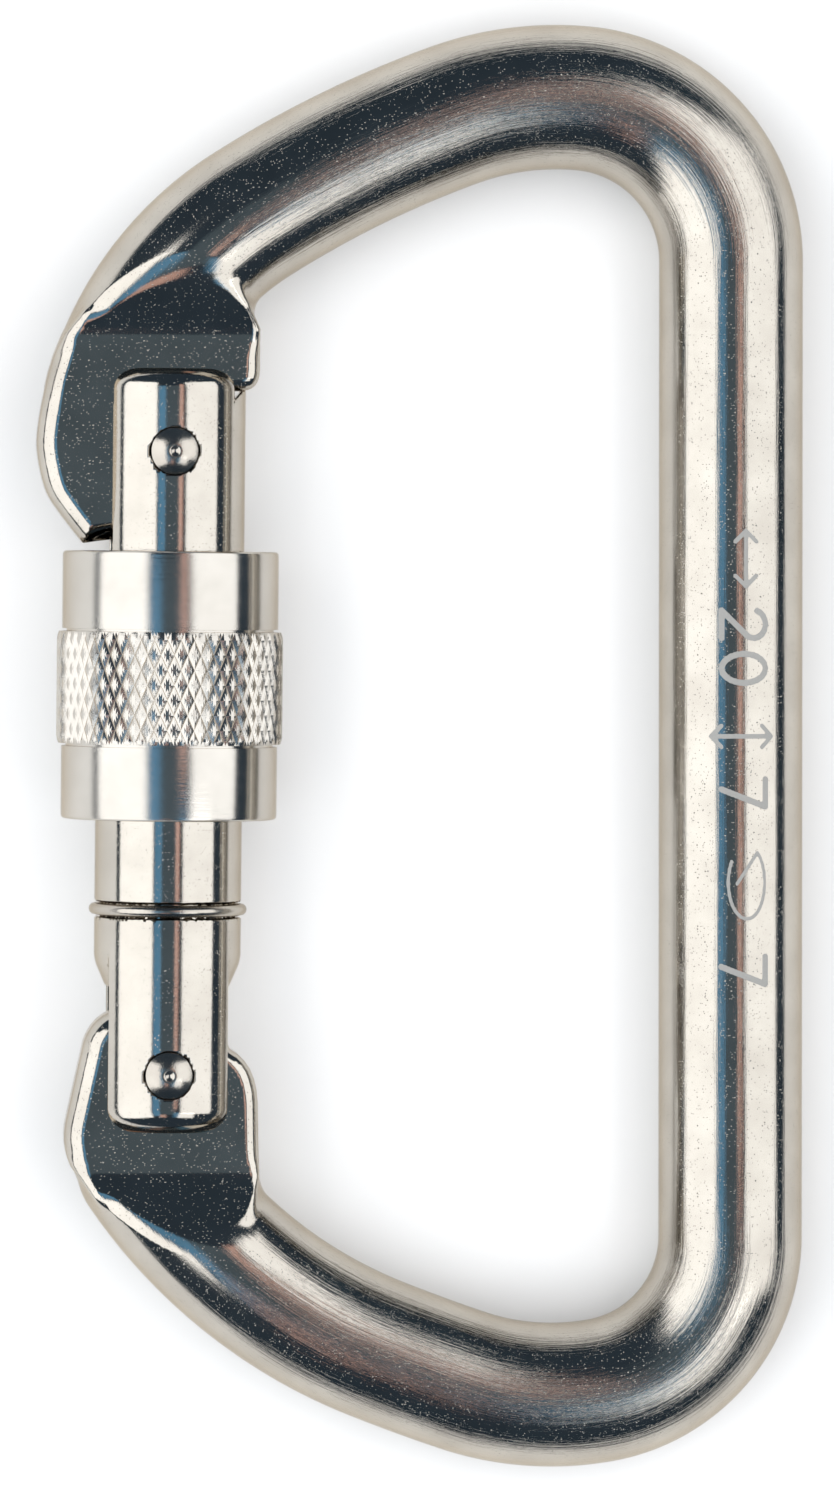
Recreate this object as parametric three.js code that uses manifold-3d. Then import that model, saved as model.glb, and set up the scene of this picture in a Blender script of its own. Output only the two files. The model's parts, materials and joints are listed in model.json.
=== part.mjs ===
// Locking carabiner: a D-shaped frame, a pinned gate that swings inward, and a screw sleeve
// on the gate. Millimetres, +Z up.
//
// The frame's plane is parallel to XY. Its long axis runs along Y, the spine is at +X and the
// gate at -X, with the nose at the top of the gate and the hinge at the bottom. The sleeve's
// knurl, the fattest round piece, touches Z = 0.
import * as THREE from 'three';
import { mergeVertices } from 'three/addons/utils/BufferGeometryUtils.js';
import Module from 'manifold-3d';

const wasm = await Module();
wasm.setup();

// ---- Frame ----
const barRadius = 5.75;
const barSides = 16;
const barSteps = 88;
const spineX = 25.06;
const spineTopY = 38.84;
const spineBottomY = -39.15;
// Each bow is a chain of arcs of the bar's centreline, from the spine towards the gate.
const topBow = [
  { radius: 13, turn: 85 },
  { radius: 24, turn: 25 },
  { radius: 83, turn: 12.5 },
  { radius: 25, turn: 41 },
];
const bottomBow = [
  { radius: 12.5, turn: 80 },
  { radius: 22.5, turn: 29 },
  { radius: 140, turn: 3 },
  { radius: 40, turn: 38 },
];
const tabHalf = 3;            // half the thickness of the nose and hinge tabs
const noseFlatY = 32.9;       // where the nose tab's flat ends and its ramp begins
const hingeFlatY = -33.9;     // the same at the hinge tab
const rampRun = 5.1;          // length of a ramp from the flat to the top of the bar
const rampRise = barRadius - tabHalf;

// ---- Gate: its own axis is local Y, with the hinge pin at the local origin ----
const hingeX = -20.14;
const hingeY = -25.75;
const gateLean = 0.575;       // degrees, top of the gate towards the spine
const gateRadius = 5.85;
const gateSides = 36;
const gateBottom = -4.67;
const gateTop = 55.92;
const endRounding = 1.9;
const slotHalf = 3.2;         // half the width of the slots that take the tabs
const hingeSlotEnd = 6.8;
const noseSlotStart = 39.95;
const webX = 3.1;             // the nose slot is closed by a web from here to the inner side
const webTop = 53.3;
const webShoulder = 1.5;
const latchPinY = 49.34;

// ---- Pins, plunger and spring ----
const pinRadius = 1.5;
const pinHeadRadius = 1.84;
const pinHeadStart = 4.7;
const pinHeadEnd = 6.05;
const pinDimple = 0.6;
const pinSides = 24;
const pinGap = 0.3;           // between a pin and the gate that holds it
const hingeBoreRadius = 1.57; // running fit round the hinge pin
const pocketRadius = 2.1;     // pocket in the nose round the latch pin
const pocketLip = 1.87;       // from the latch pin's centre down to the lip at the pocket's mouth
const springBoreRadius = 2.1;
const springBoreEnd = 25.6;
const plungerRadius = 1.8;
const plungerStart = 5.35;
const plungerEnd = 12.4;
const camRadius = 5;          // hinge tab's top, straight above the pin
const camRise = 2.5;          // growth of that radius per radian, towards the spine
const camSweep = 30;          // degrees
const springWire = 0.3;       // wire radius
const springRadius = 1.5;
const springTurns = 8;
const springGap = 0.3;

// ---- Screw sleeve and stop ring, along the gate's axis ----
const sleeveRadius = 8.6;
const sleeveStart = 20.15;
const sleeveEnd = 41.45;
const sleeveSides = 48;
const sleeveChamfer = 0.35;
const knurlRadius = 9;
const knurlStart = 26.15;
const knurlEnd = 35.05;
const knurlChamfer = 0.35;
const lipBoreRadius = 6.12;   // lower lip, which slides on the barrel and meets the stop ring
const lipEnd = 23;
const threadCrest = 6.3;      // outside of the gate's thread
const threadStart = 25.2;
const threadEnd = 33.5;
const threadRelief = 6.65;    // inside of the sleeve over the thread
const mouthInner = 7.55;      // mouth that closes over the tip of the nose
const mouthOuter = 7.95;
const mouthDepth = 1;
const ringY = 12.98;
const ringWire = 0.45;
const ringRadius = 5.87;
const grooveHalf = 0.75;
const grooveRadius = 5.25;

// ---- Nose tab ----
const noseSwing = 42.6;       // tip radius about the hinge pin, just outside the sleeve's rim
const noseTipX = -26.76;
const noseSeatRadius = 7.7;   // turned seat on the tip, where the sleeve's mouth closes
const noseSeatEnd = 43.1;
const noseInnerX = -17.15;
const hookY = 28.4;           // underside of the hook over the gate's web
const hookX = -12.72;

// Height of the frame's mid-plane, and the shift that centres the whole object on the origin.
const midHeight = knurlRadius;
const centreX = -0.19;
const centreY = -0.05;

// ---------------------------------------------------------------- helpers

const radians = THREE.MathUtils.degToRad;

function toSolid(geometry) {
  geometry.deleteAttribute('normal');
  geometry.deleteAttribute('uv');
  const merged = mergeVertices(geometry, 1e-4);
  return new wasm.Manifold(new wasm.Mesh({
    numProp: 3,
    vertProperties: new Float32Array(merged.attributes.position.array),
    triVerts: new Uint32Array(merged.index.array),
  }));
}

function toGeometry(solid) {
  const mesh = solid.getMesh();
  const geometry = new THREE.BufferGeometry();
  geometry.setAttribute('position', new THREE.BufferAttribute(mesh.vertProperties, 3));
  geometry.setIndex(new THREE.BufferAttribute(mesh.triVerts, 1));
  geometry.computeVertexNormals();
  return geometry;
}

function makeMesh(name, geometry, material) {
  const mesh = new THREE.Mesh(geometry, material);
  mesh.name = name;
  return mesh;
}

function metal(color, roughness) {
  return new THREE.MeshStandardMaterial({ color, roughness, metalness: 1 });
}

function block(x0, x1, y0, y1, z0, z1) {
  const box = new THREE.BoxGeometry(x1 - x0, y1 - y0, z1 - z0);
  return toSolid(box.translate((x0 + x1) / 2, (y0 + y1) / 2, (z0 + z1) / 2));
}

// A closed solid of revolution about Y from [radius, y] pairs, in order from low to high
// outside and back inside. A profile that starts on the axis also ends on it.
function turned(points, sides) {
  const profile = points.map(([radius, y]) => new THREE.Vector2(radius, y));
  if (points[0][0] > 0) {
    profile.push(profile[0].clone());
  }
  return toSolid(new THREE.LatheGeometry(profile, sides));
}

// A disc-ended cylinder along Z at (x, y).
function crossRod(x, y, radius, z0, z1, sides) {
  const rod = new THREE.CylinderGeometry(radius, radius, z1 - z0, sides);
  return toSolid(rod.rotateX(Math.PI / 2).translate(x, y, (z0 + z1) / 2));
}

// The outline as a polygon, without the doubled points where one curve meets the next.
function polygonOf(shape) {
  const points = shape.getPoints(8);
  const kept = points.filter((point, i) => {
    const previous = points[(i + points.length - 1) % points.length];
    return point.distanceTo(previous) > 0.01;
  });
  return new THREE.Shape(kept);
}

// A flat plate of the given outline, from -half to +half in Z.
function plate(shape, half) {
  const outline = polygonOf(shape);
  const geometry = new THREE.ExtrudeGeometry(outline, { depth: 2 * half, bevelEnabled: false });
  return toSolid(geometry.translate(0, 0, -half));
}

// ---------------------------------------------------------------- frame

class ArcCurve3 extends THREE.Curve {
  constructor(centre, radius, from, to) {
    super();
    this.centre = centre;
    this.radius = radius;
    this.from = from;
    this.to = to;
  }

  getPoint(t, target = new THREE.Vector3()) {
    const angle = this.from + (this.to - this.from) * t;
    const x = this.centre.x + this.radius * Math.cos(angle);
    const y = this.centre.y + this.radius * Math.sin(angle);
    return target.set(x, y, 0);
  }
}

// Arcs that leave the spine at startY, tangent to each other. side is 1 at the top of the
// frame, where they turn left, and -1 at the bottom.
function bowArcs(bow, startY, side) {
  const arcs = [];
  const centre = new THREE.Vector2(spineX - bow[0].radius, startY);
  let angle = 0;
  bow.forEach(({ radius, turn }, index) => {
    const next = angle + side * radians(turn);
    arcs.push(new ArcCurve3(centre.clone(), radius, angle, next));
    angle = next;
    if (index + 1 < bow.length) {
      const shift = radius - bow[index + 1].radius;
      centre.x += shift * Math.cos(angle);
      centre.y += shift * Math.sin(angle);
    }
  });
  return arcs;
}

function reversed(arc) {
  return new ArcCurve3(arc.centre, arc.radius, arc.to, arc.from);
}

const topArcs = bowArcs(topBow, spineTopY, 1);
const bottomArcs = bowArcs(bottomBow, spineBottomY, -1);
const noseArc = topArcs[topArcs.length - 1];

function barSolid() {
  const path = new THREE.CurvePath();
  topArcs.slice().reverse().forEach((arc) => path.add(reversed(arc)));
  const spineTop = new THREE.Vector3(spineX, spineTopY, 0);
  const spineBottom = new THREE.Vector3(spineX, spineBottomY, 0);
  path.add(new THREE.LineCurve3(spineTop, spineBottom));
  bottomArcs.forEach((arc) => path.add(arc));

  // Flats of the section face +X, -X, +Z and -Z.
  const section = new THREE.Shape();
  const cornerRadius = barRadius / Math.cos(Math.PI / barSides);
  for (let i = 0; i < barSides; i += 1) {
    const angle = (2 * Math.PI * (i + 0.5)) / barSides;
    const x = cornerRadius * Math.cos(angle);
    const y = cornerRadius * Math.sin(angle);
    if (i === 0) {
      section.moveTo(x, y);
    } else {
      section.lineTo(x, y);
    }
  }
  section.closePath();
  return toSolid(new THREE.ExtrudeGeometry(section, { steps: barSteps, extrudePath: path }));
}

// Clears the metal above a tab's flat and the ramp that climbs from it to the bar. away is the
// direction of the bow along Y, face is 1 for the upper side and -1 for the lower side.
function flatCutter(flatY, away, face) {
  const reach = 22;
  const high = barRadius + 2;
  const overrun = 1.3;
  const profile = new THREE.Shape();
  profile.moveTo(flatY - away * reach, face * tabHalf);
  profile.lineTo(flatY, face * tabHalf);
  profile.lineTo(flatY + away * rampRun * overrun, face * (tabHalf + rampRise * overrun));
  profile.lineTo(flatY + away * rampRun * overrun, face * high);
  profile.lineTo(flatY - away * reach, face * high);
  profile.closePath();
  const width = 32;
  const cutter = new THREE.ExtrudeGeometry(profile, { depth: width, bevelEnabled: false });
  const alongX = new THREE.Matrix4().makeBasis(
    new THREE.Vector3(0, 1, 0),
    new THREE.Vector3(0, 0, 1),
    new THREE.Vector3(1, 0, 0),
  );
  return toSolid(cutter.applyMatrix4(alongX).translate(-40, 0, 0));
}

// The nose: its outer side carries the bow's curve on, its tip is an arc about the hinge pin,
// and a hook stands over the gate's web.
function nosePlate() {
  const outerRadius = noseArc.radius + barRadius;
  const { x, y } = noseArc.centre;
  const arcEnd = radians(170.5);
  const tipY = hingeY + Math.sqrt(noseSwing ** 2 - (noseTipX - hingeX) ** 2);
  const tipAngle = Math.atan2(tipY - hingeY, noseTipX - hingeX);
  const innerAngle = Math.acos((noseInnerX - hingeX) / noseSwing);
  const shape = new THREE.Shape();
  shape.absarc(x, y, outerRadius, radians(150), arcEnd, false);
  shape.splineThru([
    new THREE.Vector2(-30.42, 23.9),
    new THREE.Vector2(-29.79, 20.73),
    new THREE.Vector2(-28.69, 18.84),
    new THREE.Vector2(noseTipX, tipY),
  ]);
  shape.absarc(hingeX, hingeY, noseSwing, tipAngle, innerAngle, true);
  shape.lineTo(noseInnerX, hookY);
  shape.lineTo(hookX - 1.5, hookY);
  shape.quadraticCurveTo(hookX, hookY, hookX, hookY + 1.6);
  shape.lineTo(hookX - 0.1, 33);
  shape.quadraticCurveTo(-12.85, 35.6, -11, 37);
  shape.lineTo(-13, 40);
  shape.lineTo(-21, 38.4);
  shape.closePath();
  return plate(shape, tabHalf);
}

// The hinge tab, drawn about the hinge pin. Its top is a spiral cam for the spring plunger.
function hingePlate() {
  const shape = new THREE.Shape();
  const camSteps = 5;
  for (let i = 0; i <= camSteps; i += 1) {
    const swing = radians(camSweep * (1 - i / camSteps));
    const radius = camRadius + camRise * swing;
    const x = radius * Math.sin(swing);
    const y = radius * Math.cos(swing);
    if (i === 0) {
      shape.moveTo(x, y);
    } else {
      shape.lineTo(x, y);
    }
  }
  shape.lineTo(-4, 5);
  shape.quadraticCurveTo(-5.8, 4.6, -6.6, 2.57);
  shape.lineTo(-8.1, -4);
  shape.quadraticCurveTo(-8.4, -5.5, -7.7, -7.4);
  shape.lineTo(-6.1, -11);
  shape.lineTo(-2, -13);
  shape.lineTo(6, -15.5);
  shape.quadraticCurveTo(7.25, -9, 7.21, -6.4);
  shape.lineTo(7.21, -2.4);
  shape.quadraticCurveTo(7.1, 0.8, 4.98, 1.85);
  shape.lineTo(4.2, 4.2);
  shape.closePath();
  return plate(shape, tabHalf).translate([hingeX, hingeY, 0]);
}

// Clears everything outside the turned seat on the nose's tip.
function seatCutter() {
  const wide = noseSeatRadius + 6;
  return turned([
    [noseSeatRadius, sleeveEnd - 2],
    [wide, sleeveEnd - 2],
    [wide, noseSeatEnd + wide - noseSeatRadius],
    [noseSeatRadius, noseSeatEnd],
  ], sleeveSides).rotate([0, 0, -gateLean]).translate([hingeX, hingeY, 0]);
}

function frameGeometry() {
  const latchX = hingeX + latchPinY * Math.sin(radians(gateLean));
  const latchY = hingeY + latchPinY * Math.cos(radians(gateLean));
  const deep = tabHalf + 1;
  const pocket = crossRod(latchX, latchY, pocketRadius, -deep, deep, pinSides)
    .add(block(latchX, noseInnerX + 1, latchY - pocketLip, latchY + pocketRadius, -deep, deep));
  const hingeBore = crossRod(hingeX, hingeY, hingeBoreRadius, -deep, deep, pinSides);
  let solid = barSolid().add(nosePlate().subtract(seatCutter())).add(hingePlate());
  [1, -1].forEach((face) => {
    solid = solid.subtract(flatCutter(noseFlatY, 1, face));
    solid = solid.subtract(flatCutter(hingeFlatY, -1, face));
  });
  return toGeometry(solid.subtract(pocket).subtract(hingeBore));
}

// ---------------------------------------------------------------- gate

function barrelSolid() {
  const r = gateRadius;
  const profile = [[0, gateBottom]];
  const roundSteps = 3;
  for (let i = 0; i <= roundSteps; i += 1) {
    const angle = (Math.PI / 2) * (i / roundSteps);
    const radius = r - endRounding * (1 - Math.sin(angle));
    profile.push([radius, gateBottom + endRounding * (1 - Math.cos(angle))]);
  }
  profile.push([r, ringY - grooveHalf]);
  profile.push([grooveRadius, ringY - grooveHalf]);
  profile.push([grooveRadius, ringY + grooveHalf]);
  profile.push([r, ringY + grooveHalf]);
  profile.push([r, threadStart]);
  profile.push([threadCrest, threadStart]);
  profile.push([threadCrest, threadEnd]);
  profile.push([r, threadEnd]);
  for (let i = 0; i <= roundSteps; i += 1) {
    const angle = (Math.PI / 2) * (i / roundSteps);
    const radius = r - endRounding * (1 - Math.cos(angle));
    profile.push([radius, gateTop - endRounding * (1 - Math.sin(angle))]);
  }
  profile.push([0, gateTop]);
  return turned(profile, gateSides);
}

// Countersunk hole for a rivet across the gate at height y.
function rivetHole(y) {
  const radius = pinRadius + pinGap;
  const headRadius = pinHeadRadius + pinGap;
  const far = gateRadius + 2;
  const headSeat = pinHeadStart - pinGap;
  return crossRod(0, y, radius, -far, far, pinSides)
    .add(crossRod(0, y, headRadius, headSeat, far, pinSides))
    .add(crossRod(0, y, headRadius, -far, -headSeat, pinSides));
}

function gateGeometry() {
  const wide = gateRadius + 2;
  const hingeSlot = block(-wide, wide, gateBottom - 2, hingeSlotEnd, -slotHalf, slotHalf);
  const noseSlot = block(-wide, webX, noseSlotStart, gateTop + 2, -slotHalf, slotHalf);
  const aboveWeb = block(0, wide, webTop, gateTop + 2, -slotHalf, slotHalf);
  const shoulder = block(-wide, wide, 0, wide, -slotHalf, slotHalf)
    .rotate([0, 0, -60])
    .translate([gateRadius, webTop - webShoulder, 0]);
  const springBore = turned([
    [0, hingeSlotEnd - 1],
    [springBoreRadius, hingeSlotEnd - 1],
    [springBoreRadius, springBoreEnd],
    [0, springBoreEnd],
  ], pinSides);
  const solid = barrelSolid()
    .subtract(hingeSlot)
    .subtract(noseSlot)
    .subtract(aboveWeb)
    .subtract(shoulder)
    .subtract(springBore)
    .subtract(rivetHole(0))
    .subtract(rivetHole(latchPinY));
  return toGeometry(solid);
}

// ---------------------------------------------------------------- small pieces

// A rivet along Z with a head and a punched dimple at each end.
function rivetGeometry() {
  const profile = [
    [0, -pinHeadEnd + pinDimple],
    [0.75, -pinHeadEnd],
    [1.35, -pinHeadEnd],
    [pinHeadRadius, -pinHeadEnd + 0.4],
    [pinHeadRadius, -pinHeadStart],
    [pinRadius, -pinHeadStart],
    [pinRadius, pinHeadStart],
    [pinHeadRadius, pinHeadStart],
    [pinHeadRadius, pinHeadEnd - 0.4],
    [1.35, pinHeadEnd],
    [0.75, pinHeadEnd],
    [0, pinHeadEnd - pinDimple],
  ];
  return toGeometry(turned(profile, pinSides).rotate([90, 0, 0]));
}

// Round-nosed pin that slides in the gate's spring bore and bears on the hinge tab's cam.
function plungerGeometry() {
  const profile = [[0, plungerStart]];
  const noseSteps = 4;
  for (let i = 1; i <= noseSteps; i += 1) {
    const angle = (Math.PI / 2) * (i / noseSteps);
    profile.push([
      plungerRadius * Math.sin(angle),
      plungerStart + plungerRadius * (1 - Math.cos(angle)),
    ]);
  }
  profile.push([plungerRadius, plungerEnd]);
  profile.push([0, plungerEnd]);
  return toGeometry(turned(profile, pinSides));
}

class HelixCurve extends THREE.Curve {
  constructor(radius, turns, y0, y1) {
    super();
    this.radius = radius;
    this.turns = turns;
    this.y0 = y0;
    this.y1 = y1;
  }

  getPoint(t, target = new THREE.Vector3()) {
    const angle = 2 * Math.PI * this.turns * t;
    const y = this.y0 + (this.y1 - this.y0) * t;
    return target.set(this.radius * Math.cos(angle), y, this.radius * Math.sin(angle));
  }
}

function springGeometry() {
  const clearEnd = springWire + springGap;
  const helix = new HelixCurve(
    springRadius,
    springTurns,
    plungerEnd + clearEnd,
    springBoreEnd - clearEnd,
  );
  const wire = new THREE.Shape();
  wire.absarc(0, 0, springWire, 0, 2 * Math.PI, false);
  const stepsPerTurn = 12;
  return toGeometry(toSolid(new THREE.ExtrudeGeometry(wire, {
    steps: springTurns * stepsPerTurn,
    curveSegments: 3,
    extrudePath: helix,
  })));
}

function sleeveGeometry() {
  const profile = [
    [lipBoreRadius, sleeveStart],
    [sleeveRadius - sleeveChamfer, sleeveStart],
    [sleeveRadius, sleeveStart + sleeveChamfer],
    [sleeveRadius, knurlStart],
    [knurlRadius, knurlStart + knurlChamfer],
    [knurlRadius, knurlEnd - knurlChamfer],
    [sleeveRadius, knurlEnd],
    [sleeveRadius, sleeveEnd - sleeveChamfer],
    [sleeveRadius - sleeveChamfer, sleeveEnd],
    [mouthOuter, sleeveEnd],
    [mouthInner, sleeveEnd - mouthDepth],
    [threadRelief, sleeveEnd - mouthDepth],
    [threadRelief, lipEnd],
    [lipBoreRadius, lipEnd],
  ];
  return toGeometry(turned(profile, sleeveSides));
}

function ringGeometry() {
  const profile = [];
  const wireSides = 8;
  for (let i = 0; i < wireSides; i += 1) {
    const angle = (2 * Math.PI * (i + 0.5)) / wireSides - Math.PI;
    profile.push([ringRadius + ringWire * Math.cos(angle), ringY + ringWire * Math.sin(angle)]);
  }
  return toGeometry(turned(profile, gateSides));
}

// ---------------------------------------------------------------- assembly

const polished = metal(0xc4c5c8, 0.24);
const turnedAluminium = metal(0xcbccce, 0.28);
const stainless = metal(0xb9b5ad, 0.25);
const springSteel = metal(0xa8a8a6, 0.35);

const group = new THREE.Group();
group.position.set(centreX, centreY, midHeight);
group.add(makeMesh('frame', frameGeometry(), polished));

const gateGroup = new THREE.Group();
gateGroup.position.set(hingeX, hingeY, 0);
gateGroup.rotation.z = -radians(gateLean);
group.add(gateGroup);

gateGroup.add(makeMesh('gate', gateGeometry(), turnedAluminium.clone()));
gateGroup.add(makeMesh('hinge_rivet', rivetGeometry(), stainless));
const latchRivet = makeMesh('latch_rivet', rivetGeometry(), stainless.clone());
latchRivet.position.y = latchPinY;
gateGroup.add(latchRivet);
gateGroup.add(makeMesh('locking_sleeve', sleeveGeometry(), turnedAluminium));
gateGroup.add(makeMesh('stop_ring', ringGeometry(), stainless.clone()));
gateGroup.add(makeMesh('spring_plunger', plungerGeometry(), stainless.clone()));
gateGroup.add(makeMesh('gate_spring', springGeometry(), springSteel));

export default group;
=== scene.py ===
"""Looks of the locking carabiner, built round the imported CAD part.

The frame, the gate and the etched marks are meshed from distance fields, which gives the forged
and milled shapes their rounded edges and exact normals. The turned pieces are revolved grids.
Lengths in the builders are millimetres. Each piece's matrix turns them into metres in the
part's frame.
"""
import json
import math

import bmesh
import bpy
import numpy as np
from mathutils import Matrix, Vector


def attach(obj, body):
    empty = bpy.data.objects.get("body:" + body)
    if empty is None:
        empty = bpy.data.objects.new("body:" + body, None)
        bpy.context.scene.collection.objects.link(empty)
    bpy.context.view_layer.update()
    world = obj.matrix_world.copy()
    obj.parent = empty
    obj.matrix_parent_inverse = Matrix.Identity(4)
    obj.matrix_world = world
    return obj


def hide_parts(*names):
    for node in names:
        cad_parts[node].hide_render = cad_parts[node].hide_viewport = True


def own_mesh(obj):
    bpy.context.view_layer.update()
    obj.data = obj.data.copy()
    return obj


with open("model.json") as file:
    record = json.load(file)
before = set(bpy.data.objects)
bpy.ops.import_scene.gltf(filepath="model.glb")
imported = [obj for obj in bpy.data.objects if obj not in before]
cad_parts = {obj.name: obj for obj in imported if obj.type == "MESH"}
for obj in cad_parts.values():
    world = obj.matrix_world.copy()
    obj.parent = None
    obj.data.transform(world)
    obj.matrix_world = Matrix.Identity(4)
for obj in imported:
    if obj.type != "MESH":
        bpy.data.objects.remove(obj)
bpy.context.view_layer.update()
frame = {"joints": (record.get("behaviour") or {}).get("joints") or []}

# ---------------------------------------------------------------- sizes, in millimetres

BAR_RADIUS = 5.75
SPINE_X = 25.06
SPINE_TOP_Y = 38.84
SPINE_BOTTOM_Y = -39.15
TOP_BOW = [(13, 85), (24, 25), (83, 12.5), (25, 41)]          # (radius, turn in degrees)
BOTTOM_BOW = [(12.5, 80), (22.5, 29), (140, 3), (40, 34)]
TAB_HALF = 3.0
NOSE_FLAT_Y = 32.9
HINGE_FLAT_Y = -33.9
RAMP_SLOPE = 2.75 / 5.1
TAB_AREA_X, TAB_AREA_Y = -8, 5                               # the tabs lie beyond these
HINGE_X, HINGE_Y = -20.14, -25.75

GATE_RADIUS = 5.85
GATE_BOTTOM, GATE_TOP = -4.67, 55.92
SLOT_HALF = 3.2
HINGE_SLOT_END = 6.8
NOSE_SLOT_START = 39.95
WEB_X = 3.1
WEB_TOP = 53.3
LATCH_PIN_Y = 49.34
RING_Y = 12.98
THREAD_PITCH = 1.6
THREAD_START, THREAD_END = 25.2, 33.5

SLEEVE_RADIUS = 8.6
SLEEVE_START, SLEEVE_END = 20.15, 41.45
KNURL_RADIUS = 9.0
KNURL_START, KNURL_END = 26.15, 35.05
KNURL_COUNT = 52
KNURL_ROWS = 3.75
KNURL_STEPS = 8
KNURL_CREST = 0.5          # share of a diamond's width that its two slopes take; the rest is flat
KNURL_DEPTH = 0.16

# ---------------------------------------------------------------- placing

joints = {joint["name"]: joint for joint in frame["joints"]}
hinge_point = Vector(joints["gate_open"]["pos_m"])
gate_axis = Vector(joints["sleeve_turn"]["axis"]).normalized()
frame_origin = hinge_point - Vector((HINGE_X, HINGE_Y, 0)) * 0.001
frame_matrix = Matrix.Translation(frame_origin) @ Matrix.Scale(0.001, 4)
gate_across = gate_axis.cross(Vector((0, 0, 1)))
gate_rotation = Matrix((gate_across, gate_axis, (0, 0, 1))).transposed().to_4x4()
gate_matrix = Matrix.Translation(hinge_point) @ gate_rotation @ Matrix.Scale(0.001, 4)


def mesh_object(name, points, faces, matrix, normals=None):
    """A new object from points in millimetres, put in place by matrix."""
    mesh = bpy.data.meshes.new(name)
    corners = faces.tolist() if isinstance(faces, np.ndarray) else faces
    mesh.from_pydata(np.asarray(points, float).tolist(), [], corners)
    mesh.validate()
    mesh.transform(matrix)
    mesh.polygons.foreach_set("use_smooth", [True] * len(mesh.polygons))
    if normals is not None:
        turned = np.asarray(normals) @ np.array(matrix.to_3x3().normalized().transposed())
        mesh.normals_split_custom_set_from_vertices(turned.tolist())
    obj = bpy.data.objects.new(name, mesh)
    bpy.context.scene.collection.objects.link(obj)
    return obj


# ---------------------------------------------------------------- distance fields


def round_union(a, b, r):
    return np.maximum(r, np.minimum(a, b)) - np.hypot(np.maximum(r - a, 0), np.maximum(r - b, 0))


def round_common(a, b, r):
    return np.minimum(-r, np.maximum(a, b)) + np.hypot(np.maximum(r + a, 0), np.maximum(r + b, 0))


def rounded_box(dx, dy, r):
    """Distance to a box of the plane from the signed distances to its sides, corners rounded by r."""
    dx, dy = dx + r, dy + r
    outside = np.hypot(np.maximum(dx, 0), np.maximum(dy, 0))
    return outside + np.minimum(np.maximum(dx, dy), 0) - r


def smoothstep(t):
    t = np.clip(t, 0, 1)
    return t * t * (3 - 2 * t)


def polygon_distance(x, y, points):
    """Signed distance in the plane to a closed polygon, negative inside."""
    best = np.full(np.broadcast(x, y).shape, 1e9)
    inside = np.zeros(best.shape, bool)
    for (ax, ay), (bx, by) in zip(points, points[1:] + points[:1]):
        ex, ey = bx - ax, by - ay
        px, py = x - ax, y - ay
        t = np.clip((px * ex + py * ey) / (ex * ex + ey * ey), 0, 1)
        best = np.minimum(best, (px - t * ex) ** 2 + (py - t * ey) ** 2)
        crosses = (ay > y) != (by > y)
        inside ^= crosses & (x < ax + (y - ay) / (ey if ey else 1e-9) * ex)
    return np.where(inside, -1, 1) * np.sqrt(best)


def polyline_distance(x, y, points):
    best = np.full(np.broadcast(x, y).shape, 1e9)
    for (ax, ay), (bx, by) in zip(points, points[1:]):
        ex, ey = bx - ax, by - ay
        px, py = x - ax, y - ay
        t = np.clip((px * ex + py * ey) / (ex * ex + ey * ey), 0, 1)
        best = np.minimum(best, (px - t * ex) ** 2 + (py - t * ey) ** 2)
    return np.sqrt(best)


def arc_points(cx, cy, rx, ry, start, end, steps):
    angles = np.radians(np.linspace(start, end, steps + 1))
    return [(cx + rx * math.cos(a), cy + ry * math.sin(a)) for a in angles]


def bend_points(a, control, b, steps=6):
    """A quadratic curve from a to b."""
    made = []
    for t in np.linspace(0, 1, steps + 1):
        u = 1 - t
        made.append(tuple(u * u * p + 2 * u * t * c + t * t * q for p, c, q in zip(a, control, b)))
    return made


def spline_points(points, steps=5):
    """A Catmull-Rom curve through the points."""
    p = np.array([points[0]] + list(points) + [points[-1]], float)
    made = []
    for i in range(1, len(p) - 2):
        for t in np.arange(steps) / steps:
            a = 2 * p[i]
            b = (p[i + 1] - p[i - 1]) * t
            c = (2 * p[i - 1] - 5 * p[i] + 4 * p[i + 1] - p[i + 2]) * t**2
            d = (3 * p[i] - p[i - 1] - 3 * p[i + 1] + p[i + 2]) * t**3
            made.append(tuple((a + b + c + d) / 2))
    return made + [tuple(points[-1])]


def graded(low, high, coarse, fine_spans, fine):
    """Grid lines from low to high, close together inside the fine spans."""
    lines = [low]
    while lines[-1] < high:
        here = lines[-1]
        step = fine if any(a <= here + coarse and here <= b for a, b in fine_spans) else coarse
        lines.append(here + step)
    return np.array(lines)


CELL_CORNERS = [(i, j, k) for i in (0, 1) for j in (0, 1) for k in (0, 1)]


def gradient(field, p, step=0.01):
    parts = []
    for axis in range(3):
        shift = np.zeros(3)
        shift[axis] = step
        ahead = field(*(p + shift).T)
        behind = field(*(p - shift).T)
        parts.append((ahead - behind) / (2 * step))
    return np.stack(parts, 1)


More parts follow.
